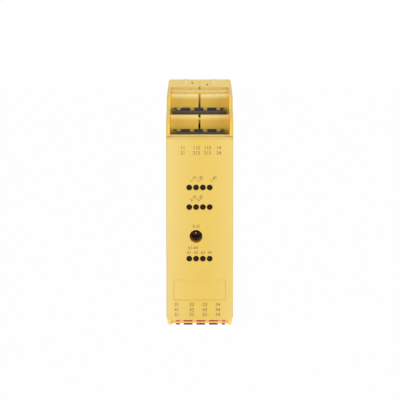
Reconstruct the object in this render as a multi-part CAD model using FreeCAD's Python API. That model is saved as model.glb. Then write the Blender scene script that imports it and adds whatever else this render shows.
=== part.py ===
import FreeCAD, Part
import math
import os
from FreeCAD import Placement, Rotation, Vector

# Safety module for a 35 mm top-hat rail: a slim yellow housing of two half shells and a front cover.
# X runs across the module, Y from the front to the rail, Z upwards, all in millimetres.
# The origin lies at the middle of the rail, on the rail's front plane.
# Places along Y are given as depth, measured back from the front face of the module.

# Housing
width = 25.0
reach = 88.0
rear_overlap = 5.0
cheek = 1.4
wall = 1.5
edge_round = 0.6

# Fits
fit = 0.25
seam = 0.1
front_visor_seam = 0.76
rear_visor_seam = 0.7
rear_visor_seam_deep = 1.9
crown_notch = 0.9
crown_notch_tall = 1.3
visor_seam_shift = 0.1
roof_seam = 0.4
roof_seam_deep = 0.9
same_place = 1e-6
slide_fit = 0.25

# Front cover
cover_thick = 2.0
cover_top = 36.8
cover_bottom = -32.65
cover_gap = 0.12
cover_top_corner = 0.6
cover_low_corner = 1.6
cover_edge = 0.45
rim_wall = 1.2
rim_depth = 4.0
snap_length = 8.0
snap_depth = 1.4
snap_proud = 0.5
label_half_width = 9.85
label_top = -17.0
label_bottom = -25.1
label_groove = 0.4
label_groove_deep = 0.15

# Lamps and addressing bore in the front cover
lamp_pitch = 2.54
lamp_count = 4
lamp_centre_x = -0.1
lamp_rows = {"upper": 17.7, "middle": 10.3, "lower": -9.22}
lamp_hole = 2.2
lamp_lens = 1.7
lamp_base = 2.3
lamp_base_tall = 1.4
lamp_recess = 0.5
shroud_tall = 4.4
shroud_margin = 1.8
address_x = -1.4
address_z = -0.8
address_bore = 4.9
address_boss = 7.4
address_deep = 7.0

# Pin headers
pole_count = 4
pole_end = 1.95
header_thick = 10.5
header_tall = 12.0
header_wall = 1.1
header_side_clear = 0.4
header_taper = 0.85
header_skew = 0.35
header_well = 10.0
header_front_drop = 0.2
header_offset = 0.4
notch_wide = 1.6
notch_deep = 1.05
pin_thick = 1.0
pin_tall = 5.0
pin_point = 0.25
tail_first = 1.6
tail_step = 1.8

# Upper terraces, seen from the front: pocket, visor wall, pocket, visor wall, blank level, roof
terrace_rear = 16.8
terrace_rim_rise = 0.15
terrace_pitch = 19.0
terrace_rise = 5.9
visor_tall = 5.2
visor_thick = 2.5
visor_front_round = 1.6
visor_rear_round = 0.8
floor_drop = 2.6
lip_front = 0.6
lip_crest = 1.5
lip_back = 4.0
lip_tall = 0.53
blank_rise = 6.1
blank_thick = 2.2
blank_groove = 0.8
blank_deep = 7.4
blank_stem = 3.5
blank_shoulder = 1.1
roof_start = 54.6
roof_rise = 2.4
roof_fall = 1.2
roof_rib_x = 5.5
roof_rib_wide = 1.3
roof_rib_tall = 0.2
snap_window_wide = 0.6
snap_window_long = 9.0
snap_window_x = 2.95
snap_window_left = 70.5
snap_window_right = 61.5
seam_notch = 1.0
tongue_tall = 0.7
tongue_drop = 1.1
tongue_inset = 0.55

# Cheeks beside the upper terraces
cheek_step_rise = 5.55
cheek_step_round = 1.4
cheek_tread_mid = 10.5
cheek_tread_lift = 1.8
cheek_tread_rise = 0.25
cheek_rise_start = 19.0
cheek_rise_end = 25.0

# Lower end: a sloping floor with three headers in line
slope_deg = 15.5
lower_rear = 40.5
lower_proud = 0.48
lower_pitch = 15.5
lower_last_lift = 2.6
floor_front_lift = 2.45
floor_bend = 45.0
floor_low = 72.5
floor_mid = 57.0
floor_mid_drop = 2.13
floor_low_drop = 2.0
cheek_below = 1.3
partition_depth = 42.3
partition_thick = 2.2
partition_tall = 0.93

# Rail and latch
rail_half = 17.5
rail_inner_half = 13.5
rail_sheet = 1.0
rail_room = 0.4
rail_lower_room = 0.7
hook_grip = 3.0
latch_travel = 4.0
latch_thick = 3.0
latch_half = 5.0
wing_half = 7.0
wing_thick = 1.5
wing_top = -19.0
wing_bottom = -45.5
latch_gap = 0.2
latch_clear = 0.9
latch_bottom = -49.5
latch_lead = 1.6
window_half = 2.6
window_top = -26.0
window_bottom = -40.0
lug_tall = 2.0
tab_slot_half = 2.5
tab_slot_tall = 1.2
tab_slot_edge = 0.7

# Latch spring
spring_strip = 0.4
spring_limbs = 6
spring_end_gap = 0.1

# Boards
board_thick = 1.6
board_standoff = 0.8
board_front = 8.0
board_top_drop = 8.0
board_gap = 0.3
boss_half = 1.8
peg_radius = 1.0
peg_places = [(20.0, 12.0), (79.0, -24.0)]
rest_place = (79.0, 28.0)
indicator_depth = 9.0
indicator_top = 24.0
indicator_bottom = -22.0

# Columns that join the half shells
column_half = 2.0
column_peg = 1.2
column_peg_long = 4.0
column_places = [(60.0, 42.0), (84.0, 42.0), (18.0, -28.5), (82.0, -41.5)]

# Parts on the boards
relay_long = 28.0
relay_wide = 12.5
relay_tall = 12.7
relay_round = 0.6
relay_depth = 48.0
relay_lower_z = -20.0
relay_space = 2.5
chip_tall = 1.5
interface_chip = (23.0, -9.0, 10.0)
controller_chip = (39.0, -12.0, 9.0)
controller_space = 14.0
capacitor_radius = 5.0
capacitor_long = 12.5
capacitor_place = (30.0, 13.0)
choke_half_deep = 3.0
choke_half_high = 5.0
choke_tall = 7.0
choke_leg_half = 1.5
choke_yoke = 1.2
choke_turns = 1.8
choke_place = (64.0, 26.0)
connector_place = (41.0, 14.0)
connector_deep = 5.0
connector_tall = 22.0

# Addressing socket
socket_flange = 8.0
socket_barrel = 6.0
socket_hole = 3.8
socket_end = 16.0
socket_bottom = 14.0
contact_radius = 0.65
contact_front = 8.2
contact_rear = 18.0

# Worked-out places
half = width / 2
inner_half = half - cheek
header_front_half = inner_half - header_offset - header_side_clear
header_rear_half = header_front_half - header_taper
pole_pitch = 2 * (header_rear_half - pole_end) / (pole_count - 1)
rear = reach + rear_overlap
shell_front = cover_thick + cover_gap
slope = math.tan(math.radians(slope_deg))
lip_under = cover_top + cover_gap
lip_top = lip_under + lip_tall
terrace_rim = lip_top + terrace_rim_rise
floor_a = terrace_rim - floor_drop
floor_b = floor_a + terrace_rise
blank_floor = floor_b + blank_rise
roof_front_z = blank_floor + roof_rise
roof_rear_z = roof_front_z - roof_fall
cheek_step_z = lip_top + cheek_step_rise
cheek_tread_z = cheek_step_z + cheek_tread_lift
visor_a = terrace_rear + fit
visor_b = visor_a + terrace_pitch
visor_a_top = terrace_rim + visor_tall
visor_b_top = visor_a_top + terrace_rise
roof_slope = (roof_rear_z - roof_front_z) / (rear - roof_start)
hook_top = rail_half + rail_room
hook_tip = hook_top - hook_grip - rail_room
hook_depth = reach + rail_sheet + rail_room
channel_low = -rail_half - rail_lower_room
latch_front = reach + rail_sheet + latch_gap
latch_top = -rail_inner_half - latch_clear
rear_wall = reach - wall
floor_front_z = cover_bottom + floor_front_lift
floor_bend_z = floor_front_z - slope * (floor_bend - shell_front)
floor_mid_z = floor_bend_z - floor_mid_drop
floor_low_z = floor_mid_z - floor_low_drop
lower_rim = floor_front_z - slope * (lower_rear - shell_front) - lower_proud
partition_z = floor_front_z - slope * (partition_depth - shell_front) - partition_tall
board_top = blank_floor - board_top_drop
board_face = inner_half - board_standoff - board_thick
indicator_rear = indicator_depth + board_thick
shroud_front = cover_thick + fit
shroud_rear = indicator_depth - lamp_base_tall - fit
pin_xs = [(k - (pole_count - 1) / 2) * pole_pitch for k in range(pole_count)]
lamp_xs = [lamp_centre_x + (k - (lamp_count - 1) / 2) * lamp_pitch for k in range(lamp_count)]


def roof_z(depth):
    return roof_front_z + roof_slope * (depth - roof_start)


def plate(outline, x_low, x_high):
    """A flat piece with an outline of (depth, z) points, between two planes across X."""
    points = [Vector(x_low, depth - reach, z) for depth, z in outline]
    face = Part.Face(Part.makePolygon(points + points[:1]))
    return face.extrude(Vector(x_high - x_low, 0, 0))


def block(x_low, x_high, front, back, low, high):
    corner = Vector(x_low, front - reach, low)
    return Part.makeBox(x_high - x_low, back - front, high - low, corner)


def rod(radius, front, back, x, z):
    """A round piece along the depth."""
    return Part.makeCylinder(radius, back - front, Vector(x, front - reach, z), Vector(0, 1, 0))


def cross_rod(radius, x_low, x_high, depth, z):
    """A round piece across the module."""
    return Part.makeCylinder(radius, x_high - x_low, Vector(x_low, depth - reach, z), Vector(1, 0, 0))


def post(half_side, x_low, x_high, depth, z):
    """A square piece across the module."""
    return block(x_low, x_high, depth - half_side, depth + half_side, z - half_side, z + half_side)


def mirrored(shape):
    return shape.mirror(Vector(0, 0, 0), Vector(1, 0, 0))


def joined(shapes):
    return shapes[0].multiFuse(shapes[1:]).removeSplitter()


def edges_across(shape, depth, z):
    """The edges that run across the module through one (depth, z) place."""
    found = []
    for edge in shape.Edges:
        box = edge.BoundBox
        flat = box.YLength < same_place and box.ZLength < same_place
        here = abs(box.YMin - (depth - reach)) < same_place and abs(box.ZMin - z) < same_place
        if flat and here:
            found.append(edge)
    return found


# Pin headers

def header_places():
    """Where each header sits: its rear rim, on the upper terraces and on the sloping lower floor."""
    upright = Rotation()
    hanging = Rotation(Vector(1, 0, 0), -slope_deg).multiply(Rotation(Vector(0, 1, 0), 180))
    places = {}
    for step, name in enumerate(["upper_front", "upper_rear"]):
        depth = terrace_rear + step * terrace_pitch
        base = Vector(-header_offset, depth - reach, terrace_rim + step * terrace_rise)
        places[name] = Placement(base, upright)
    for step, name in enumerate(["lower_front", "lower_middle", "lower_rear"]):
        lift = lower_last_lift if name == "lower_rear" else 0.0
        depth = lower_rear + step * lower_pitch
        base = Vector(header_offset, depth - reach, lower_rim - slope * step * lower_pitch + lift)
        places[name] = Placement(base, hanging)
    return places


def header_plan(inset, low, high):
    """The tapered plan of a header, wider and set to one side at its front, between two heights."""
    back = -inset
    front = -header_thick + inset
    plan = [
        Vector(-header_rear_half + inset, back, low),
        Vector(header_rear_half - inset, back, low),
        Vector(header_skew + header_front_half - inset, front, low),
        Vector(header_skew - header_front_half + inset, front, low),
    ]
    return Part.Face(Part.makePolygon(plan + plan[:1])).extrude(Vector(0, 0, high - low))


def make_header():
    body = header_plan(0, -header_tall, 0)
    body = body.cut(header_plan(header_wall, -header_well, header_tall))
    front_rim = Part.makeBox(
        2 * header_front_half, header_thick - 2 * header_wall, header_front_drop + header_tall,
        Vector(header_skew - header_front_half, -header_thick - header_wall, -header_front_drop))
    body = body.cut(front_rim)
    for x in pin_xs:
        notch = Part.makeBox(
            notch_wide, 2 * header_wall, 2 * notch_deep,
            Vector(x - notch_wide / 2, -1.5 * header_wall, -notch_deep))
        body = body.cut(notch)
        hole = pin_thick + 2 * fit
        foot = Part.makeBox(
            hole, hole, 2 * header_tall,
            Vector(x - hole / 2, -header_thick / 2 - hole / 2, -header_tall - header_well))
        body = body.cut(foot)
    return body


def make_header_pins():
    """Angled pins: each drops out of the header and turns towards its board, one below the other."""
    board_x = header_offset - board_face
    pins = []
    for k, x in enumerate(pin_xs):
        tail = -header_tall - tail_first - k * tail_step
        top = pin_tall - header_well
        front = -header_thick / 2 - pin_thick / 2
        upright = Part.makeBox(pin_thick, pin_thick, top - tail, Vector(x - pin_thick / 2, front, tail))
        tip = [edge for edge in upright.Edges if edge.BoundBox.ZMin > top - same_place]
        upright = upright.makeChamfer(pin_point, tip)
        reach_x = x - board_x
        across = Part.makeBox(reach_x, pin_thick, pin_thick, Vector(board_x, front, tail))
        pins.append(joined([upright, across]))
    return Part.makeCompound(pins)


def placed(shape, placement):
    moved = shape.copy()
    moved.Placement = placement.multiply(moved.Placement)
    return moved


# Half shells

def cheek_outline():
    return [
        (shell_front, floor_front_z - cheek_below),
        (shell_front, lip_under),
        (0, lip_under),
        (0, cheek_step_z - cheek_step_round / 2),
        (cheek_step_round, cheek_step_z),
        (cheek_tread_mid, cheek_tread_z),
        (cheek_rise_start, cheek_tread_z + cheek_tread_rise),
        (cheek_rise_end, roof_front_z),
        (roof_start, roof_front_z),
        (rear, roof_rear_z),
        (rear, hook_tip),
        (hook_depth, hook_tip),
        (hook_depth, hook_top),
        (reach, hook_top),
        (reach, channel_low),
        (rear, channel_low),
        (rear, floor_low_z - cheek_below),
        (floor_low, floor_low_z - cheek_below),
        (floor_mid, floor_mid_z - cheek_below),
        (floor_bend, floor_bend_z - cheek_below),
    ]


def core_outline():
    return [
        (shell_front, floor_front_z),
        (shell_front, lip_under),
        (lip_front, lip_under),
        (lip_front, lip_top),
        (lip_crest, lip_top),
        (lip_back, lip_under),
        (lip_back, floor_a),
        (visor_a, floor_a),
        (visor_a, visor_a_top),
        (visor_a + visor_thick, visor_a_top),
        (visor_a + visor_thick, floor_b),
        (visor_b, floor_b),
        (visor_b, visor_b_top),
        (visor_b + visor_thick, visor_b_top),
        (visor_b + visor_thick, blank_floor),
        (roof_start, blank_floor),
        (roof_start, roof_front_z),
        (rear, roof_rear_z),
        (rear, hook_tip),
        (hook_depth, hook_tip),
        (hook_depth, hook_top),
        (reach, hook_top),
        (reach, channel_low),
        (rear, channel_low),
        (rear, floor_low_z),
        (floor_low, floor_low_z),
        (floor_mid, floor_mid_z),
        (floor_bend, floor_bend_z),
    ]


def cavity_outline():
    roof_inner = roof_start + wall
    return [
        (lip_front, floor_front_z + wall),
        (lip_front, floor_a - wall),
        (visor_a + wall, floor_a - wall),
        (visor_a + wall, floor_b - wall),
        (visor_b + wall, floor_b - wall),
        (visor_b + wall, blank_floor - wall),
        (roof_inner, blank_floor - wall),
        (roof_inner, roof_z(roof_inner) - wall),
        (rear - wall, roof_z(rear - wall) - wall),
        (rear - wall, hook_top + wall),
        (rear_wall, hook_top + wall),
        (rear_wall, floor_low_z + wall),
        (floor_low, floor_low_z + wall),
        (floor_mid, floor_mid_z + wall),
        (floor_bend, floor_bend_z + wall),
        (shell_front, floor_front_z + wall),
    ]


def latch_room():
    """The guide behind the lower wall in which the rail latch runs, with a shoulder above its wings."""
    low = latch_bottom - latch_travel
    front = latch_front - slide_fit
    wings = block(0, wing_half + slide_fit, front, latch_front + wing_thick + slide_fit, low,
                  wing_top + slide_fit)
    body = block(0, latch_half + slide_fit, front, rear + fit, low, 0)
    return wings.fuse(body)


def make_half_shell(seam_shift):
    """The features that both half shells share, on the right side of the module."""
    side = plate(cheek_outline(), inner_half, half)
    rounded = [edge for edge in side.Edges if edge.BoundBox.XMin > half - same_place]
    side = side.makeFillet(edge_round, rounded)

    core = plate(core_outline(), seam / 2, inner_half)
    for radius, back in [(visor_front_round, 0), (visor_rear_round, visor_thick)]:
        ridge = []
        for front, top in [(visor_a, visor_a_top), (visor_b, visor_b_top)]:
            ridge += edges_across(core, front + back, top)
        core = core.makeFillet(radius, ridge)
    core = core.cut(plate(cavity_outline(), 0, inner_half))
    for front, floor, top, gap, deep in [
            (visor_a, floor_a, visor_a_top, front_visor_seam, visor_thick + fit),
            (visor_b, floor_b, visor_b_top, rear_visor_seam, rear_visor_seam_deep),
            (visor_b, visor_b_top - crown_notch_tall, visor_b_top, crown_notch, visor_thick + fit),
            (roof_start, blank_floor, roof_front_z, roof_seam, roof_seam_deep)]:
        core = core.cut(block(0, gap / 2 + seam_shift, front - fit, front + deep, floor, top + fit))
    core = core.cut(latch_room())

    lug = block(seam / 2, window_half - fit, latch_front - slide_fit - wall / 2,
                latch_front + latch_thick - fit, window_bottom + fit, window_bottom + fit + lug_tall)
    partition = block(seam / 2, inner_half, partition_depth, partition_depth + partition_thick,
                      partition_z, floor_bend_z + wall)
    rib = plate([(roof_start, roof_front_z - wall / 2), (roof_start, roof_front_z + roof_rib_tall),
                 (rear, roof_rear_z + roof_rib_tall), (rear, roof_rear_z - wall / 2)],
                roof_rib_x - roof_rib_wide / 2, roof_rib_x + roof_rib_wide / 2)
    pieces = [side, core, lug, partition, rib]
    for depth, z in peg_places + [rest_place]:
        pieces.append(post(boss_half, inner_half - board_standoff, half - cheek / 2, depth, z))
    for depth, z in peg_places:
        pieces.append(cross_rod(peg_radius, board_face, half - cheek / 2, depth, z))
    for depth, z in column_places:
        pieces.append(post(column_half, seam / 2, half - cheek / 2, depth, z))
    shell = joined(pieces)

    corner = roof_z(rear) + roof_rib_tall
    notch = [Vector(0, rear_overlap - seam_notch, corner), Vector(seam_notch, rear_overlap, corner),
             Vector(0, rear_overlap, corner)]
    notch_face = Part.Face(Part.makePolygon(notch + notch[:1]))
    return shell.cut(notch_face.extrude(Vector(0, 0, -wall - roof_rib_tall)))


def header_windows():
    low = -header_tall - fit
    high = notch_deep + fit
    window = header_plan(-fit, low, high)
    return [placed(window, placement) for placement in header_places().values()]


def snap_recesses(side):
    """Grooves inside the cheeks that take the catches of the front cover."""
    grooves = []
    for z in snap_heights():
        front = cover_thick + rim_depth - 2 * snap_depth - fit
        low_x = inner_half
        high_x = inner_half + snap_proud
        groove = block(low_x, high_x, front, front + snap_depth + 2 * fit,
                       z - snap_length / 2 - fit, z + snap_length / 2 + fit)
        grooves.append(groove if side > 0 else mirrored(groove))
    return grooves


def snap_heights():
    middle = (cover_top + cover_bottom) / 2
    quarter = (cover_top - cover_bottom) / 4
    return [middle - quarter, middle + quarter]


def make_right_shell():
    shell = make_half_shell(-visor_seam_shift)
    cuts = header_windows() + snap_recesses(1)
    for depth, z in column_places:
        cuts.append(cross_rod(column_peg + fit / 2, 0, column_peg_long + fit, depth, z))
    window_x = snap_window_x - snap_window_wide / 2
    cuts.append(block(window_x, window_x + snap_window_wide, snap_window_right,
                      snap_window_right + snap_window_long, roof_rear_z - 2 * wall, roof_front_z + wall))
    return shell.cut(cuts)


def make_left_shell():
    shell = mirrored(make_half_shell(visor_seam_shift))
    pieces = [shell]
    for depth, z in column_places:
        pieces.append(cross_rod(column_peg, -column_half, column_peg_long, depth, z))
    tongue_top = visor_a_top - tongue_drop
    tongue_end = front_visor_seam / 2 - visor_seam_shift - fit / 2
    pieces.append(block(-front_visor_seam, tongue_end, visor_a + tongue_inset,
                        visor_a + visor_thick - tongue_inset, tongue_top - tongue_tall, tongue_top))
    shell = joined(pieces)
    window_x = -snap_window_x - snap_window_wide / 2
    window = block(window_x, window_x + snap_window_wide, snap_window_left,
                   snap_window_left + snap_window_long, roof_rear_z - 2 * wall, roof_front_z + wall)
    return shell.cut(header_windows() + snap_recesses(-1) + [window])


# Front cover

def make_front_cover():
    face = block(-half, half, 0, cover_thick, cover_bottom, cover_top)
    for z, radius in [(cover_top, cover_top_corner), (cover_bottom, cover_low_corner)]:
        along_depth = [edge for edge in face.Edges if edge.BoundBox.YLength > cover_thick / 2]
        corners = [edge for edge in along_depth if abs(edge.BoundBox.Center.z - z) < same_place]
        face = face.makeFillet(radius, corners)
    front = [edge for edge in face.Edges if edge.BoundBox.YMax < -reach + same_place]
    face = face.makeFillet(cover_edge, front)

    rim_half = inner_half - fit
    rim_low = floor_front_z + wall + fit
    rim_high = floor_a - wall - fit
    rim_back = cover_thick + rim_depth
    rim = block(-rim_half, rim_half, cover_thick - cover_edge, rim_back, rim_low, rim_high)
    rim = rim.cut(block(-rim_half + rim_wall, rim_half - rim_wall, 0, rim_back + fit,
                        rim_low + rim_wall, rim_high - rim_wall))
    pieces = [face, rim]
    catch_front = rim_back - 2 * snap_depth
    catch = [Vector(rim_half - rim_wall / 2, catch_front - reach, 0),
             Vector(rim_half + snap_proud, catch_front - reach, 0),
             Vector(rim_half + snap_proud / 2, catch_front + snap_depth - reach, 0),
             Vector(rim_half - rim_wall / 2, catch_front + snap_depth - reach, 0)]
    catch_face = Part.Face(Part.makePolygon(catch + catch[:1]))
    for z in snap_heights():
        wedge = catch_face.extrude(Vector(0, 0, snap_length))
        wedge.translate(Vector(0, 0, z - snap_length / 2))
        pieces += [wedge, mirrored(wedge)]
    pieces.append(rod(address_boss / 2, cover_thick / 2, address_deep, address_x, address_z))
    cover = joined(pieces)

    cuts = [rod(address_bore / 2, -fit, address_deep + fit, address_x, address_z)]
    for z in lamp_rows.values():
        for x in lamp_xs:
            cuts.append(rod(lamp_hole / 2, -fit, cover_thick + fit, x, z))
    cuts.append(label_frame())
    return cover.cut(cuts)


def label_frame():
    """The fine groove round the label field."""
    inner = label_half_width - label_groove
    outline = block(-label_half_width, label_half_width, -fit, label_groove_deep, label_bottom, label_top)
    return outline.cut(block(-inner, inner, -fit, label_groove_deep,
                             label_bottom + label_groove, label_top - label_groove))


# Lamps, boards and what sits on them

def make_lamp_row(z):
    lamps = []
    for x in lamp_xs:
        lens = rod(lamp_lens / 2, lamp_recess, indicator_depth - lamp_base_tall, x, z)
        side = lamp_base / 2
        base = block(x - side, x + side, indicator_depth - lamp_base_tall, indicator_depth,
                     z - side, z + side)
        lamps.append(joined([lens, base]))
    return Part.makeCompound(lamps)


def make_lamp_shrouds():
    shrouds = []
    for z in lamp_rows.values():
        shroud = block(lamp_xs[0] - shroud_margin, lamp_xs[-1] + shroud_margin, shroud_front, shroud_rear,
                       z - shroud_tall / 2, z + shroud_tall / 2)
        side = lamp_hole / 2
        cells = [block(x - side, x + side, 0, indicator_depth, z - side, z + side) for x in lamp_xs]
        shrouds.append(shroud.cut(cells))
    return Part.makeCompound(shrouds)


def board_outline():
    """The shared outline of the two large boards, stepped clear of the headers."""
    step_a = terrace_rim - header_tall - board_gap
    step_b = step_a + terrace_rise
    first_step = visor_a + wall + board_gap
    second_step = visor_b + wall + board_gap
    back = rear_wall - board_gap
    sine = math.sin(math.radians(slope_deg))
    cosine = math.cos(math.radians(slope_deg))
    # Front inner corner of the first lower header, from which the sloping edge is laid off
    corner = lower_rear - header_thick * cosine + header_tall * sine
    corner_z = lower_rim + header_thick * sine + header_tall * cosine + 2 * board_gap
    last_step = corner + 2 * lower_pitch - 2 * wall

    def edge_z(depth, lift):
        return corner_z - slope * (depth - corner) + lift

    return [
        (board_front, step_a),
        (first_step, step_a),
        (first_step, step_b),
        (second_step, step_b),
        (second_step, board_top),
        (back, board_top),
        (back, edge_z(back, lower_last_lift)),
        (last_step, edge_z(last_step, lower_last_lift)),
        (last_step, edge_z(last_step, 0)),
        (board_front, edge_z(board_front, 0)),
    ]


def make_side_board():
    board = plate(board_outline(), board_face, board_face + board_thick)
    holes = [cross_rod(peg_radius + fit, 0, half, depth, z) for depth, z in peg_places]
    return board.cut(holes)


def make_indicator_board():
    span = board_face - board_gap
    board = block(-span, span, indicator_depth, indicator_rear, indicator_bottom, indicator_top)
    return board.cut(rod(socket_barrel / 2 + fit, 0, reach, address_x, address_z))


def make_addressing_socket():
    side = socket_flange / 2
    flange = block(address_x - side, address_x + side, address_deep + fit, indicator_depth,
                   address_z - side, address_z + side)
    barrel = rod(socket_barrel / 2, indicator_depth - fit, socket_end, address_x, address_z)
    socket = joined([flange, barrel])
    hollow = rod(socket_hole / 2, 0, socket_bottom, address_x, address_z)
    passage = rod(contact_radius + fit / 2, 0, socket_end + fit, address_x, address_z)
    return socket.cut([hollow, passage])


def make_contact():
    contact = rod(contact_radius, contact_front, contact_rear, address_x, address_z)
    tip = [edge for edge in contact.Edges if edge.BoundBox.YMax < contact_front - reach + same_place]
    return contact.makeChamfer(contact_radius / 2, tip)


def make_relay(index):
    low = relay_lower_z + index * (relay_wide + relay_space)
    body = block(board_face - relay_tall, board_face, relay_depth, relay_depth + relay_long,
                 low, low + relay_wide)
    away = [edge for edge in body.Edges if edge.BoundBox.XMax < board_face - relay_tall / 2]
    return body.makeFillet(relay_round, away)


def make_chip(place, shift):
    depth, z, side = place
    low = z + shift
    return block(-board_face, -board_face + chip_tall, depth, depth + side, low, low + side)


def make_capacitor():
    depth, z = capacitor_place
    return cross_rod(capacitor_radius, board_face - capacitor_long, board_face, depth, z)


def make_choke():
    """A closed core: a middle leg for the winding between two outer legs, with a yoke at either end."""
    depth, z = choke_place
    low = -board_face + choke_yoke
    high = -board_face + choke_tall - choke_yoke
    core = block(-board_face, -board_face + choke_tall, depth - choke_half_deep, depth + choke_half_deep,
                 z - choke_half_high, z + choke_half_high)
    legs = choke_half_high - choke_yoke
    for bottom, top in [(z - legs, z - choke_leg_half), (z + choke_leg_half, z + legs)]:
        core = core.cut(block(low, high, depth - choke_half_deep, depth + choke_half_deep, bottom, top))
    return core


def make_choke_winding():
    depth, z = choke_place
    low = -board_face + choke_yoke
    high = -board_face + choke_tall - choke_yoke
    deep = choke_half_deep + choke_turns
    tall = choke_leg_half + choke_turns
    coil = block(low, high, depth - deep, depth + deep, z - tall, z + tall)
    return coil.cut(block(low, high, depth - choke_half_deep, depth + choke_half_deep,
                          z - choke_leg_half, z + choke_leg_half))


def make_board_connector():
    depth, z = connector_place
    return block(-board_face, board_face, depth, depth + connector_deep, z, z + connector_tall)


# Blank cover of the third level

def make_blank_cover():
    front = visor_b + visor_thick + blank_groove
    back = front + blank_deep
    span = inner_half - fit
    top = block(-span, span, front, back, blank_floor, blank_floor + blank_thick)
    upper = [edge for edge in top.Edges
             if edge.BoundBox.ZMin > blank_floor + blank_thick - same_place and edge.BoundBox.XLength > span]
    top = top.makeFillet(fit, upper)
    stem_span = span - blank_shoulder
    stem = block(-stem_span, stem_span, front + blank_shoulder, back - blank_shoulder,
                 blank_floor - blank_stem, blank_floor + blank_thick / 2)
    return joined([top, stem])


def blank_window():
    front = visor_b + visor_thick + blank_groove + blank_shoulder - fit
    back = front + blank_deep - 2 * blank_shoulder + 2 * fit
    span = inner_half - fit - blank_shoulder + fit
    return block(-span, span, front, back, blank_floor - 2 * wall, blank_floor + wall)


# Rail latch and spring

def make_rail_latch():
    back = latch_front + latch_thick
    profile = [
        (latch_front, latch_bottom),
        (latch_front, latch_top),
        (back - latch_lead, latch_top),
        (back, latch_top - latch_lead),
        (back, latch_bottom),
    ]
    body = plate(profile, -latch_half, latch_half)
    wings = block(-wing_half, wing_half, latch_front, latch_front + wing_thick, wing_bottom, wing_top)
    latch = joined([body, wings])
    window = block(-window_half, window_half, latch_front - fit, back + fit, window_bottom, window_top)
    slot_low = latch_bottom + tab_slot_edge
    slot = block(-tab_slot_half, tab_slot_half, latch_front - fit, back + fit, slot_low,
                 slot_low + tab_slot_tall)
    return latch.cut([window, slot])


def make_latch_spring():
    """A meander of flat strip: straight limbs across the latch window, joined by half-round bends."""
    front = latch_front + fit - reach
    strip_wide = latch_thick - 2 * fit
    low = window_bottom + fit + lug_tall + spring_end_gap + spring_strip / 2
    high = window_top - spring_end_gap - spring_strip / 2
    limb_rise = (high - low) / (spring_limbs - 1)
    bend = limb_rise / 2
    run = window_half - fit - spring_strip / 2 - bend
    edges = []
    for k in range(spring_limbs):
        side = 1 if k % 2 == 0 else -1
        z = low + k * limb_rise
        near_end = Vector(-side * run, front, z)
        far_end = Vector(side * run, front, z)
        edges.append(Part.LineSegment(near_end, far_end).toShape())
        if k < spring_limbs - 1:
            crest = Vector(side * (run + bend), front, z + bend)
            next_end = Vector(side * run, front, z + limb_rise)
            edges.append(Part.Arc(far_end, crest, next_end).toShape())
    path = Part.Wire(edges)
    foot = low - spring_strip / 2
    back = front + strip_wide
    top = foot + spring_strip
    corners = [Vector(-run, front, foot), Vector(-run, back, foot),
               Vector(-run, back, top), Vector(-run, front, top)]
    section = Part.makePolygon(corners + corners[:1])
    return path.makePipeShell([section], True, True)


def build():
    nodes = {}
    blank_opening = blank_window()
    nodes["left_shell"] = make_left_shell().cut(blank_opening)
    nodes["right_shell"] = make_right_shell().cut(blank_opening)
    nodes["front_cover"] = make_front_cover()
    nodes["blank_cover"] = make_blank_cover()
    header = make_header()
    pins = make_header_pins()
    for name, placement in header_places().items():
        nodes[name + "_header"] = placed(header, placement)
        nodes[name + "_pins"] = placed(pins, placement)
    for name, z in lamp_rows.items():
        nodes["lamps_" + name] = make_lamp_row(z)
    nodes["lamp_shrouds"] = make_lamp_shrouds()
    nodes["indicator_board"] = make_indicator_board()
    nodes["addressing_socket"] = make_addressing_socket()
    nodes["addressing_contact"] = make_contact()
    board = make_side_board()
    nodes["relay_board"] = board
    nodes["logic_board"] = mirrored(board)
    nodes["lower_relay"] = make_relay(0)
    nodes["upper_relay"] = make_relay(1)
    nodes["interface_chip"] = make_chip(interface_chip, 0)
    nodes["first_controller"] = make_chip(controller_chip, 0)
    nodes["second_controller"] = make_chip(controller_chip, controller_space)
    nodes["supply_capacitor"] = make_capacitor()
    nodes["choke_core"] = make_choke()
    nodes["choke_winding"] = make_choke_winding()
    nodes["board_connector"] = make_board_connector()
    nodes["rail_latch"] = make_rail_latch()
    nodes["latch_spring"] = make_latch_spring()
    return nodes


os.makedirs("parts", exist_ok=True)
for name, shape in build().items():
    shape.exportStep("parts/" + name + ".step")
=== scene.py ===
import math

import bpy
from mathutils import Matrix, Vector


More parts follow.
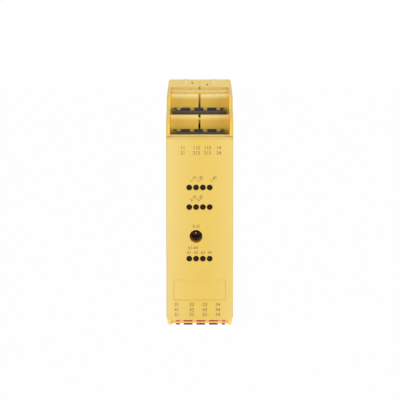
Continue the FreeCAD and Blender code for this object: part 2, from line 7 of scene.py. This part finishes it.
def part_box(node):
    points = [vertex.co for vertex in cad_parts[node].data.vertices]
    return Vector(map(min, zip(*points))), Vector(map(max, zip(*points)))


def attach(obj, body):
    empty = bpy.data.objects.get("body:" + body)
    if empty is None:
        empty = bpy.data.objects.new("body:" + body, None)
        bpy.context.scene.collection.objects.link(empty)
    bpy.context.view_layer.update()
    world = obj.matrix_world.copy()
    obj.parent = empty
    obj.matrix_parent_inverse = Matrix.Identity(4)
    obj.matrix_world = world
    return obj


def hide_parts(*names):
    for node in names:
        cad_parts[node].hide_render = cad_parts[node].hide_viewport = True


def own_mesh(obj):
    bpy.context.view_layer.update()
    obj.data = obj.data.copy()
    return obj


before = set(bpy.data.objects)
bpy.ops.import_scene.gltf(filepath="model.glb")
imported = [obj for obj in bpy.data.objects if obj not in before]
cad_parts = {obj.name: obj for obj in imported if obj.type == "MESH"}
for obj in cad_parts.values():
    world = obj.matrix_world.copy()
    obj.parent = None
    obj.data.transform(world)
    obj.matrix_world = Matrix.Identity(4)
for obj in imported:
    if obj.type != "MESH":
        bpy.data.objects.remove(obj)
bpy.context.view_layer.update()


# Half shells: two mouldings of yellow impact-resistant plastic that carry everything else.
# They meet at the middle of the module on four pegs, and the mould leaves a fine satin grain. The
# tones of their fields are matched to the photograph and hold painted light and shade: painted
# highlights on the visor crowns, painted light on the terrace ends, lower end, feet and roof, and
# painted shade on the flanks, in the joints and on the lip.
def start_material(name):
    """A new finish, with its shader and the place on the module in metres."""
    material = bpy.data.materials.new(name)
    material.use_nodes = True
    tree = material.node_tree
    place = tree.nodes.new("ShaderNodeTexCoord")
    return material, tree, tree.nodes["Principled BSDF"], place.outputs["Object"]


def cloud(tree, place, size, detail=2.0):
    """Soft random patches about as large as the given size in metres."""
    noise = tree.nodes.new("ShaderNodeTexNoise")
    noise.inputs["Scale"].default_value = 1.0 / size
    noise.inputs["Detail"].default_value = detail
    tree.links.new(place, noise.inputs["Vector"])
    return noise.outputs["Fac"]


def mix_colours(tree, share, first, second):
    """A colour between two others, each a plain colour or another node's output."""
    mix = tree.nodes.new("ShaderNodeMix")
    mix.data_type = "RGBA"
    tree.links.new(share, mix.inputs[0])
    for socket, colour in ((mix.inputs[6], first), (mix.inputs[7], second)):
        if isinstance(colour, bpy.types.NodeSocket):
            tree.links.new(colour, socket)
        else:
            socket.default_value = (*colour, 1.0)
    return mix.outputs[2]


def between(tree, share, low, high):
    """A value that runs from low to high as the share runs over the middle of its range."""
    span = tree.nodes.new("ShaderNodeMapRange")
    span.inputs["From Min"].default_value = 0.3
    span.inputs["From Max"].default_value = 0.7
    span.inputs["To Min"].default_value = low
    span.inputs["To Max"].default_value = high
    tree.links.new(share, span.inputs["Value"])
    return span.outputs["Result"]


def raise_grain(tree, shader, height, depth):
    """A relief of the given depth in metres on the surface."""
    bump = tree.nodes.new("ShaderNodeBump")
    bump.inputs["Strength"].default_value = 1.0
    bump.inputs["Distance"].default_value = depth
    tree.links.new(height, bump.inputs["Height"])
    tree.links.new(bump.outputs["Normal"], shader.inputs["Normal"])


def moulded_plastic(name, colour, deeper, rough, grain, sheen=0.5):
    """Moulded plastic: slow drift of the colour, patches between two roughnesses and a fine eroded
    grain, given by its size and depth in metres."""
    material, tree, shader, place = start_material(name)
    drift = cloud(tree, place, size=0.02, detail=3.0)
    tree.links.new(mix_colours(tree, drift, colour, deeper), shader.inputs["Base Color"])
    patches = cloud(tree, place, size=0.004)
    tree.links.new(between(tree, patches, *rough), shader.inputs["Roughness"])
    grain_size, grain_depth = grain
    raise_grain(tree, shader, cloud(tree, place, grain_size), grain_depth)
    shader.inputs["IOR"].default_value = 1.5
    shader.inputs["Specular IOR Level"].default_value = sheen
    return material


def finish_nodes(names, material):
    """Gives pieces of the CAD model their finish."""
    for name in names:
        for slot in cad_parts[name].material_slots:
            slot.material = material


def calculated(tree, operation, first, *others):
    """The outcome of a calculation on node outputs and plain numbers."""
    step = tree.nodes.new("ShaderNodeMath")
    step.operation = operation
    for socket, value in zip(step.inputs, (first, *others)):
        if isinstance(value, bpy.types.NodeSocket):
            tree.links.new(value, socket)
        else:
            socket.default_value = value
    return step.outputs["Value"]


def place_along(tree, axis):
    """The place along X, Y or Z in metres, or the distance off the module's middle to either side."""
    split = tree.nodes.new("ShaderNodeSeparateXYZ")
    tree.links.new(tree.nodes["Texture Coordinate"].outputs["Object"], split.inputs["Vector"])
    if axis == "off_middle":
        return calculated(tree, "ABSOLUTE", split.outputs["X"])
    return split.outputs[axis]


def within(tree, limits):
    """1 inside a field given by its limits along some axes, 0 outside it."""
    share = 1.0
    for axis, low, high in limits:
        along = place_along(tree, axis)
        share = calculated(tree, "MULTIPLY", calculated(tree, "GREATER_THAN", along, low), share)
        share = calculated(tree, "MULTIPLY", calculated(tree, "LESS_THAN", along, high), share)
    return share


def smooth_field(material, limits, polish):
    """A field that is smoother than the rest of the moulding."""
    tree = material.node_tree
    rough = tree.nodes["Principled BSDF"].inputs["Roughness"]
    smoothing = calculated(tree, "MULTIPLY", within(tree, limits), polish)
    tree.links.new(calculated(tree, "SUBTRACT", rough.links[0].from_socket, smoothing), rough)


def lay_tone(material, share, colour):
    """Lays another tone over the colour that a finish has so far."""
    tree = material.node_tree
    base = tree.nodes["Principled BSDF"].inputs["Base Color"]
    tree.links.new(mix_colours(tree, share, base.links[0].from_socket, colour), base)


def toned_field(material, limits, colour):
    """A field of the moulding with a tone of its own."""
    lay_tone(material, within(material.node_tree, limits), colour)


def toned_band(material, limits, axis, middle, half_band, colour):
    """A tone that is full at the middle of a band across an axis and fades out to either side."""
    tree = material.node_tree
    away = calculated(tree, "ABSOLUTE", calculated(tree, "SUBTRACT", place_along(tree, axis), middle))
    fade = calculated(tree, "SUBTRACT", 1.0, calculated(tree, "DIVIDE", away, half_band))
    share = calculated(tree, "MULTIPLY", calculated(tree, "MAXIMUM", fade, 0.0), within(tree, limits))
    lay_tone(material, share, colour)


shell_yellow = moulded_plastic(
    "shell_yellow", (0.88, 0.56, 0.045), (0.86, 0.54, 0.04),
    rough=(0.42, 0.52), grain=(0.00025, 0.000006))
cheek_inner = 0.0111
between_cheeks = ("off_middle", 0.0, cheek_inner)
under_flank = 0.0124
inside_flanks = ("off_middle", 0.0, under_flank)
past_flanks = 0.02
past_front = -0.1
before_rear = 0.0048
past_top = 0.06
past_bottom = -0.06

crest_smooth = 0.12
roof_rails = [("off_middle", 0.00484, 0.00616), ("Z", 0.0475, past_top)]
smooth_field(shell_yellow, roof_rails, crest_smooth)
crown_tall = 0.0019
crest_drop = 0.0008
# Painted highlight: a paler band along the crown of each visor, where the finish is also smoother.
for crown_top, crest_painted_highlight in ((0.0429, (0.85, 0.61, 0.19)), (0.0488, (0.86, 0.66, 0.27))):
    crown = [between_cheeks, ("Y", -0.072, -0.048), ("Z", crown_top - crown_tall, crown_top)]
    smooth_field(shell_yellow, crown, crest_smooth)
    toned_band(shell_yellow, crown, "Z", crown_top - crest_drop, half_band=0.0013, colour=crest_painted_highlight)
# Painted light at the ends of the terraces beside the cheeks, where they lie in shade.
terrace_ends = [("off_middle", 0.0080, 0.01105), ("Y", -0.084, -0.046), ("Z", 0.033, 0.0489)]
toned_band(shell_yellow, terrace_ends, "off_middle", middle=0.0112, half_band=0.0026,
           colour=(1.0, 0.67, 0.09))
rear_visor = ("Y", -0.056, -0.046)
# Painted light on the low part of the rear visor, above its header.
rear_visor_foot = [between_cheeks, rear_visor, ("Z", 0.040, 0.0456)]
toned_band(shell_yellow, rear_visor_foot, "Z", middle=0.0425, half_band=0.003,
           colour=(1.0, 0.67, 0.085))

# A duller outer tone, painted shade on the flanks and the front edges of the shells.
outer_painted_shade = (0.835, 0.55, 0.075)
joint_shade = (0.25, 0.12, 0.03)
joint_half_shade = (0.62, 0.32, 0.06)
lower_end = ("Z", past_bottom, -0.036)
along_module = ("Y", past_front, before_rear)
visor_joint = ("off_middle", 0.0, 0.0003)
flanks = [("off_middle", cheek_inner, past_flanks)]
front_edges = [("Y", past_front, -0.0855)]
cheek_feet = [("off_middle", 0.0108, under_flank), along_module, lower_end]
roof = [inside_flanks, ("Y", -0.0332, before_rear), ("Z", 0.0475, past_top)]
roof_front = [between_cheeks, ("Y", -0.0345, -0.0325), ("Z", 0.045, 0.0493)]
roof_joint = [("off_middle", 0.0, 0.00024), ("Y", -0.0336, -0.031), ("Z", 0.0465, 0.0493)]
top_lip = [between_cheeks, ("Y", past_front, -0.084), ("Z", 0.0368, 0.0385)]
# Painted tones: painted light on the lower end, the feet, the roof and the front face of the roof; painted
# shade in the joints and on the lip above the cover.
for field, tone in (
        (flanks, outer_painted_shade),
        (front_edges, outer_painted_shade),
        ([inside_flanks, along_module, lower_end], (0.9, 0.64, 0.15)),
        (cheek_feet, (0.9, 0.61, 0.05)),
        (roof, (0.92, 0.64, 0.07)),
        (roof_front, (0.88, 0.65, 0.18)),
        (roof_joint, joint_half_shade),
        ([visor_joint, rear_visor, ("Z", 0.038, 0.0488)], joint_shade),
        ([visor_joint, rear_visor, ("Z", 0.0454, 0.0481)], joint_half_shade),
        (top_lip, (0.72, 0.51, 0.1))):
    toned_field(shell_yellow, field, tone)
finish_nodes(["left_shell", "right_shell"], shell_yellow)


# Joint tongue: a thin lip of the same yellow plastic, moulded to one half shell. It fills the joint
# under the roof and down the whole rear wall, and keeps light out of the module.
def put_in_scene(name, data):
    """A new object in the scene, made of a mesh, a lamp or a lens."""
    thing = bpy.data.objects.new(name, data)
    bpy.context.scene.collection.objects.link(thing)
    return thing


tongue_half = 0.000047
roof_front_y = -0.0324
rear_outside, rear_inside = 0.0047, 0.0037
rear_head = 0.0465
hook_end = 0.0160
shelf_under, shelf_over = 0.0181, 0.0192
slot_outside, slot_inside = -0.0002, -0.0013
slot_foot = -0.0459
tongue_outline = [
    (roof_front_y, 0.04907), (0.0030, 0.04796), (0.0036, rear_head), (rear_outside, rear_head),
    (rear_outside, hook_end), (rear_inside, hook_end), (rear_inside, shelf_under),
    (slot_outside, shelf_under), (slot_outside, slot_foot),
    (slot_inside, slot_foot), (slot_inside, shelf_over), (rear_inside, shelf_over),
    (rear_inside, 0.0455), (0.0026, 0.0468), (roof_front_y, 0.04817)]
corners = len(tongue_outline)
left_face = tuple(range(corners))
right_face = tuple(reversed(range(corners, 2 * corners)))
narrow_faces = [(k, k + corners, (k + 1) % corners + corners, (k + 1) % corners) for k in range(corners)]
tongue_mesh = bpy.data.meshes.new("joint_tongue")
tongue_mesh.from_pydata(
    [(x, y, z) for x in (-tongue_half, tongue_half) for y, z in tongue_outline], [],
    [left_face, right_face, *narrow_faces])
tongue_mesh.materials.append(shell_yellow)
joint_tongue = put_in_scene("joint_tongue", tongue_mesh)
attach(joint_tongue, "housing")


# Circuit boards: glass-fibre boards under green solder resist, one along each side of the module
# and a small one across its front. The side boards sit on the pegs of the half shells.
def solder_resist(name):
    """Green resist that shows the tracks below it as slightly paler and raised lines."""
    material, tree, shader, place = start_material(name)
    tracks = tree.nodes.new("ShaderNodeTexBrick")
    tracks.inputs["Scale"].default_value = 420.0
    tracks.inputs["Mortar Size"].default_value = 0.05
    for part, grey in (("Color1", 0.0), ("Color2", 0.0), ("Mortar", 1.0)):
        tracks.inputs[part].default_value = (grey, grey, grey, 1.0)
    turned = tree.nodes.new("ShaderNodeMapping")
    turned.inputs["Rotation"].default_value = (math.radians(90), 0.0, math.radians(90))
    tree.links.new(place, turned.inputs["Vector"])
    tree.links.new(turned.outputs["Vector"], tracks.inputs["Vector"])
    colour = mix_colours(tree, tracks.outputs["Color"], (0.018, 0.13, 0.05), (0.04, 0.22, 0.09))
    tree.links.new(colour, shader.inputs["Base Color"])
    patches = cloud(tree, place, size=0.003)
    tree.links.new(between(tree, patches, low=0.22, high=0.34), shader.inputs["Roughness"])
    raise_grain(tree, shader, tracks.outputs["Color"], depth=0.00003)
    return material


finish_nodes(["relay_board", "logic_board", "indicator_board"], solder_resist("green_solder_resist"))


# Parts on the boards: two sealed relays, three chips, a capacitor, a choke on a closed core and the
# connector between the boards. All of them are soldered to the inner faces of the side boards.
relay_white = moulded_plastic(
    "relay_white", (0.74, 0.73, 0.69), (0.70, 0.69, 0.65),
    rough=(0.22, 0.3), grain=(0.0004, 0.000004))
finish_nodes(["lower_relay", "upper_relay"], relay_white)

chip_resin = moulded_plastic(
    "chip_resin", (0.022, 0.022, 0.024), (0.03, 0.03, 0.032),
    rough=(0.5, 0.62), grain=(0.00012, 0.000006))
finish_nodes(["interface_chip", "first_controller", "second_controller"], chip_resin)

connector_black = moulded_plastic(
    "connector_black", (0.025, 0.025, 0.026), (0.035, 0.035, 0.036),
    rough=(0.38, 0.5), grain=(0.0002, 0.000005))
finish_nodes(["board_connector"], connector_black)

can_sleeve = moulded_plastic(
    "can_sleeve", (0.02, 0.025, 0.05), (0.03, 0.035, 0.06),
    rough=(0.18, 0.28), grain=(0.0006, 0.000005))
finish_nodes(["supply_capacitor"], can_sleeve)

pressed_ferrite = moulded_plastic(
    "pressed_ferrite", (0.05, 0.05, 0.052), (0.08, 0.078, 0.076),
    rough=(0.55, 0.7), grain=(0.0002, 0.00002))
finish_nodes(["choke_core"], pressed_ferrite)


def wound_copper(name, wire):
    """Enamelled wire laid turn by turn along the width of the module."""
    material, tree, shader, place = start_material(name)
    bands_per_scale = 3.2
    turns = tree.nodes.new("ShaderNodeTexWave")
    turns.bands_direction = "X"
    turns.wave_profile = "SIN"
    turns.inputs["Scale"].default_value = 1.0 / wire / bands_per_scale
    turns.inputs["Distortion"].default_value = 0.3
    tree.links.new(place, turns.inputs["Vector"])
    colour = mix_colours(tree, turns.outputs["Fac"], (0.26, 0.07, 0.025), (0.62, 0.24, 0.09))
    tree.links.new(colour, shader.inputs["Base Color"])
    shader.inputs["Metallic"].default_value = 0.85
    shader.inputs["Roughness"].default_value = 0.3
    raise_grain(tree, shader, turns.outputs["Fac"], depth=wire / 2)
    return material


winding_wire = 0.0003
finish_nodes(["choke_winding"], wound_copper("wound_copper", winding_wire))


# Header pins: square wire of tinned brass, bent once and soldered to the side boards.
# Their free ends stand in the header wells and take the plugs.
def drawn_metal(name, colour, dark, rough, streak):
    """Drawn or plated metal with fine streaks between two colours and two roughnesses."""
    material, tree, shader, place = start_material(name)
    streaks = cloud(tree, place, streak, detail=4.0)
    tree.links.new(mix_colours(tree, streaks, colour, dark), shader.inputs["Base Color"])
    tree.links.new(between(tree, streaks, *rough), shader.inputs["Roughness"])
    shader.inputs["Metallic"].default_value = 1.0
    raise_grain(tree, shader, streaks, depth=0.000004)
    return material


header_names = ["upper_front", "upper_rear", "lower_front", "lower_middle", "lower_rear"]
bright_tin = drawn_metal(
    "bright_tin", (0.72, 0.71, 0.68), (0.58, 0.57, 0.54), rough=(0.2, 0.36), streak=0.0006)
finish_nodes([name + "_pins" for name in header_names], bright_tin)


# Header bodies: glass-filled mouldings with a notched rear rim that codes the plug, held in windows
# of the half shells. Two are black in the upper terraces. Of the three at the lower end the foremost
# is red, and the others are a deeper black that paints in the shade under the module, as they look
# in the photograph.
header_black = moulded_plastic(
    "header_black", (0.038, 0.033, 0.031), (0.048, 0.041, 0.038),
    rough=(0.42, 0.55), grain=(0.0003, 0.000008))
header_red = moulded_plastic(
    "header_red", (0.72, 0.065, 0.075), (0.66, 0.055, 0.065),
    rough=(0.36, 0.48), grain=(0.0003, 0.000006))
header_black_painted_shade = moulded_plastic(
    "header_black_painted_shade", (0.017, 0.015, 0.014), (0.023, 0.02, 0.019),
    rough=(0.46, 0.58), grain=(0.0003, 0.000008), sheen=0.25)
finish_nodes(["upper_front_header", "upper_rear_header"], header_black)
finish_nodes(["lower_middle_header", "lower_rear_header"], header_black_painted_shade)
finish_nodes(["lower_front_header"], header_red)


# Lamps and their shrouds: tinted lamps on the front board, unlit and dark, with black baffles that
# keep their light apart. Two of the middle row and two of the lower row are red, the others olive.
def unlit_lens(name, red_from, red_to):
    """Smoky lens material: a red tint between two places across the module, olive elsewhere."""
    material, tree, shader, place = start_material(name)
    red_part = within(tree, [("X", red_from, red_to)])
    tint = mix_colours(tree, red_part, (0.034, 0.022, 0.004), (0.055, 0.009, 0.005))
    haze = mix_colours(tree, cloud(tree, place, size=0.0008), tint, (0.026, 0.010, 0.004))
    tree.links.new(haze, shader.inputs["Base Color"])
    patches = cloud(tree, place, size=0.0005)
    tree.links.new(between(tree, patches, low=0.3, high=0.42), shader.inputs["Roughness"])
    shader.inputs["Specular IOR Level"].default_value = 0.06
    return material


lamp_pitch = 0.00254
lamp_middle = -0.0001
past_last_lamp = 0.01
finish_nodes(["lamps_upper"], unlit_lens("lens_upper", past_last_lamp, past_last_lamp))
finish_nodes(["lamps_middle"], unlit_lens("lens_middle", lamp_middle, past_last_lamp))
finish_nodes(["lamps_lower"], unlit_lens("lens_lower", lamp_middle - lamp_pitch, lamp_middle + lamp_pitch))

baffle_black = moulded_plastic(
    "baffle_black", (0.026, 0.011, 0.006), (0.032, 0.014, 0.008),
    rough=(0.6, 0.75), grain=(0.0003, 0.000008), sheen=0.15)
finish_nodes(["lamp_shrouds"], baffle_black)


# Addressing socket: a black jack on the front board with one plated contact in the middle,
# reached through the bore of the front cover. Its black is warmed by painted light bounced off the
# yellow cover, and it is browner still behind its front face, to match the photograph.
jack_black_painted_bounce = moulded_plastic(
    "jack_black_painted_bounce", (0.06, 0.032, 0.016), (0.07, 0.038, 0.019),
    rough=(0.4, 0.52), grain=(0.0003, 0.000005), sheen=0.2)
socket_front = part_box("addressing_socket")[0].y
face_deep = 0.0003
behind_face = [("Y", socket_front + face_deep, 0.0)]
# Painted bounce light: browner behind the front face.
toned_field(jack_black_painted_bounce, behind_face, (0.26, 0.15, 0.08))
finish_nodes(["addressing_socket"], jack_black_painted_bounce)
plated_contact = drawn_metal(
    "plated_contact", (0.34, 0.21, 0.19), (0.26, 0.16, 0.14), rough=(0.34, 0.46), streak=0.0005)
finish_nodes(["addressing_contact"], plated_contact)


# Blank cover: a yellow strip that closes the third upper level where no header is fitted.
# It is pushed in from above and held by its stem, and its top is smoother than the shells.
smooth_yellow = moulded_plastic(
    "smooth_yellow", (0.80, 0.54, 0.08), (0.77, 0.51, 0.07),
    rough=(0.36, 0.44), grain=(0.0004, 0.000003))
finish_nodes(["blank_cover"], smooth_yellow)


# Front cover: a yellow moulded lid with three rows of lamp holes, the addressing bore and a label
# field bounded by a fine groove. It snaps between the cheeks of the half shells. Its face has a softer
# satin, and its tones are matched to the photograph like those of the shells: a painted sheen towards
# its long edges, painted shade along its top edge and in the groove, and painted light on its top
# face, in the holes and along the top of the groove.
def painted_sheen_towards_edges(material, middle_x, half_width, sheen_colour):
    """A painted sheen on the lid that grows paler from near its middle to its long edges."""
    tree = material.node_tree
    off_centre = calculated(tree, "SUBTRACT", place_along(tree, "X"), middle_x)
    outward = calculated(tree, "DIVIDE", off_centre, half_width)
    lay_tone(material, calculated(tree, "MULTIPLY", outward, outward), sheen_colour)


cover_yellow = moulded_plastic(
    "cover_yellow", (0.80, 0.55, 0.08), (0.785, 0.535, 0.074),
    rough=(0.38, 0.46), grain=(0.0002, 0.000004))
painted_sheen_towards_edges(cover_yellow, middle_x=0.001, half_width=0.0125, sheen_colour=(0.835, 0.615, 0.18))
cover_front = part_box("front_cover")[0].y
cover_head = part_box("front_cover")[1].z
below_top_face = cover_head - 0.00005
# Painted shade along the rounded top edge of the lid, and painted light on its top face.
toned_band(cover_yellow, [("Z", 0.0, below_top_face)], "Z", middle=cover_head, half_band=0.0015,
           colour=(0.68, 0.45, 0.052))
toned_field(cover_yellow, [("Z", below_top_face, past_top)], (0.95, 0.75, 0.35))
inside_edges = ("off_middle", 0.0, 0.0105)
below_groove = cover_front + 0.0003
groove_floor = ("Y", cover_front + 0.00008, below_groove)
hole_walls = ("Y", below_groove, cover_front + 0.003)
holes_and_label = ("Z", -0.03, 0.03)
label_head = ("Z", -0.0175, -0.0165)
# Painted shade on the groove floor and the mouths of the holes, painted bounce light on the hole walls,
# and painted light along the top of the groove.
toned_field(cover_yellow, [inside_edges, groove_floor, holes_and_label], (0.78, 0.51, 0.062))
toned_field(cover_yellow, [inside_edges, hole_walls, holes_and_label], (0.97, 0.5, 0.16))
toned_field(cover_yellow, [inside_edges, groove_floor, label_head], (0.83, 0.59, 0.12))
finish_nodes(["front_cover"], cover_yellow)


# Print on the front cover: brown pad-printed numbers for the terminals, the lamps and the addresses.
# The ink stands two hundredths of a millimetre proud of the plastic.
ink_height = 0.00002
stroke_swell = 0.00004


def number_mesh(text, size, x, z, lean_deg=0.0):
    """The outline of a printed number as a thin raised solid on the cover's face."""
    curve = bpy.data.curves.new("number", "FONT")
    curve.body = text
    curve.size = size
    curve.align_x = "CENTER"
    curve.align_y = "CENTER"
    curve.extrude = ink_height
    curve.offset = stroke_swell
    carrier = put_in_scene("number", curve)
    bpy.context.view_layer.update()
    mesh = bpy.data.meshes.new_from_object(carrier)
    bpy.data.objects.remove(carrier)
    lean = Matrix.Rotation(math.radians(lean_deg), 4, "Z")
    upright = Matrix.Rotation(math.radians(90), 4, "X")
    mesh.transform(Matrix.Translation(Vector((x, cover_front, z))) @ upright @ lean)
    return mesh


digit = 0.0018
small_digit = 0.0016
upper_xs = (-0.0063, -0.0012, 0.0029, 0.0071)
upper_rows = (0.0326, 0.0307)
lower_xs = (-0.0086, -0.0030, 0.0019, 0.0068)
lower_rows = (-0.0267, -0.0287, -0.03055)
lamp_xs = [lamp_middle + (k - 1.5) * lamp_pitch for k in range(4)]
lamp_lean = 42
lamp_shift = 0.0014
lowest_lamp_row = -0.0069
printed = []
for row, z in enumerate(upper_rows, 1):
    for label, x in zip((f"{row}1", f"{row}12", f"{row}13", f"{row}4"), upper_xs):
        printed.append(number_mesh(label, digit, x, z))
for row, z in enumerate(lower_rows, 3):
    for pole, x in enumerate(lower_xs, 1):
        printed.append(number_mesh(f"{row}{pole}", digit, x, z))
for row, z, numbered in ((1, 0.0209, (0, 1, 3)), (2, 0.0136, (0, 1))):
    for k in numbered:
        printed.append(number_mesh(f"{row}.{k + 1}0", small_digit, lamp_xs[k] + lamp_shift, z, lamp_lean))
for k, x in enumerate(lamp_xs):
    printed.append(number_mesh(f"6{k + 1}", small_digit, x, lowest_lamp_row))
printed.append(number_mesh("61-64", small_digit, x=-0.0025, z=-0.0051))
printed.append(number_mesh("0-31", small_digit, x=-0.0012, z=0.0030))


def ink(name):
    """Thin brown ink with slightly uneven cover."""
    material, tree, shader, place = start_material(name)
    cover = mix_colours(tree, cloud(tree, place, size=0.0004), (0.33, 0.19, 0.05), (0.40, 0.24, 0.07))
    tree.links.new(cover, shader.inputs["Base Color"])
    shader.inputs["Roughness"].default_value = 0.5
    return material


all_print = bpy.data.meshes.new("cover_print")
points, faces = [], []
for mesh in printed:
    start = len(points)
    points += [tuple(vertex.co) for vertex in mesh.vertices]
    faces += [tuple(start + index for index in polygon.vertices) for polygon in mesh.polygons]
    bpy.data.meshes.remove(mesh)
all_print.from_pydata(points, [], faces)
all_print.materials.append(ink("brown_ink"))
cover_print = put_in_scene("cover_print", all_print)
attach(cover_print, "housing")


# Rail latch and spring: a black sliding foot that grips the lower lip of the rail, pushed up by a
# meander of spring steel. A screwdriver in its slot pulls it down.
latch_black = moulded_plastic(
    "latch_black", (0.03, 0.03, 0.031), (0.04, 0.04, 0.041),
    rough=(0.4, 0.52), grain=(0.0003, 0.000007))
finish_nodes(["rail_latch"], latch_black)
spring_steel = drawn_metal(
    "spring_steel", (0.55, 0.55, 0.56), (0.42, 0.42, 0.43), rough=(0.24, 0.4), streak=0.0008)
finish_nodes(["latch_spring"], spring_steel)
meander = put_in_scene("meander_spring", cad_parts["latch_spring"].data.copy())
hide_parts("latch_spring")
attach(meander, "housing")
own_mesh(meander)


# Studio: a sheet of white paper well below the module, which hangs as if clipped to its rail, in a
# white room. Wide soft lamps stand in front and behind, and smaller ones above, at each side and below.
floor_z = -0.6
floor_half = 6.0
floor_mesh = bpy.data.meshes.new("floor")
floor_mesh.from_pydata(
    [(-floor_half, -floor_half, floor_z), (floor_half, -floor_half, floor_z),
     (floor_half, floor_half, floor_z), (-floor_half, floor_half, floor_z)], [], [(0, 1, 2, 3)])
floor = put_in_scene("floor", floor_mesh)


def seen_directly(tree):
    """1 for rays from the camera and for rays that were mirrored or passed through glass."""
    path = tree.nodes.new("ShaderNodeLightPath")
    share = path.outputs["Is Camera Ray"]
    for name in ("Is Glossy Ray", "Is Transmission Ray"):
        share = calculated(tree, "MAXIMUM", share, path.outputs[name])
    return share


def shown_instead(tree, share, usual, shown, output):
    """Lets one shader take the place of the usual one, by its share."""
    mix = tree.nodes.new("ShaderNodeMixShader")
    tree.links.new(share, mix.inputs["Fac"])
    tree.links.new(usual.outputs[0], mix.inputs[1])
    tree.links.new(shown.outputs[0], mix.inputs[2])
    tree.links.new(mix.outputs["Shader"], tree.nodes[output].inputs["Surface"])


sweep = bpy.data.materials.new("white_sweep")
sweep.use_nodes = True
tree = sweep.node_tree
paper = tree.nodes["Principled BSDF"]
paper.inputs["Base Color"].default_value = (0.8, 0.8, 0.8, 1.0)
paper.inputs["Roughness"].default_value = 0.9
paper.inputs["Specular IOR Level"].default_value = 0.0
glow = tree.nodes.new("ShaderNodeEmission")
glow_share = 0.985
faded = calculated(tree, "MULTIPLY", seen_directly(tree), glow_share)
shown_instead(tree, faded, paper, glow, "Material Output")
floor_mesh.materials.append(sweep)

room = bpy.data.worlds.new("white_room")
bpy.context.scene.world = room
room.use_nodes = True
tree = room.node_tree
ambient = tree.nodes["Background"]
ambient.inputs["Strength"].default_value = 0.42
white = tree.nodes.new("ShaderNodeBackground")
for background in (ambient, white):
    background.inputs["Color"].default_value = (1.0, 1.0, 1.0, 1.0)
shown_instead(tree, seen_directly(tree), ambient, white, "World Output")

aim = Vector((0.0, -0.05, 0.0))
for name, place, wide, tall, power in (
        ("front_softbox", (0.0, -1.7, 0.1), 2.0, 0.5, 12.5),
        ("top_softbox", (0.0, -0.3, 1.2), 0.8, 0.15, 3.8),
        ("left_softbox", (-0.9, -0.7, 0.55), 0.5, 0.8, 0.6),
        ("right_softbox", (0.9, -0.7, 0.55), 0.5, 0.8, 2.2),
        ("rear_softbox", (0.0, 1.6, -0.3), 2.0, 0.4, 6.0),
        ("floor_softbox", (0.0, -0.06, -0.55), 0.5, 0.3, 1.2)):
    softbox = bpy.data.lights.new(name, "AREA")
    softbox.shape = "RECTANGLE"
    softbox.size = wide
    softbox.size_y = tall
    softbox.energy = power
    stand = put_in_scene(name, softbox)
    stand.location = place
    stand.rotation_euler = (aim - Vector(place)).to_track_quat("-Z", "Y").to_euler()


# Camera: a long lens a metre away, a little above the module and square to its front.
# The colours are shown as they are, by the standard view.
target = Vector((0.0001, -0.088, 0.013))
distance = 1.0
height_deg = 8.7
lens = bpy.data.cameras.new("camera")
lens.sensor_width = 36.0
lens.lens = 241.3
camera = put_in_scene("camera", lens)
rise = math.radians(height_deg)
camera.location = target + distance * Vector((0.0, -math.cos(rise), math.sin(rise)))
camera.rotation_euler = (math.radians(90 - height_deg), 0.0, 0.0)
bpy.context.scene.camera = camera
bpy.context.scene.view_settings.view_transform = "Standard"
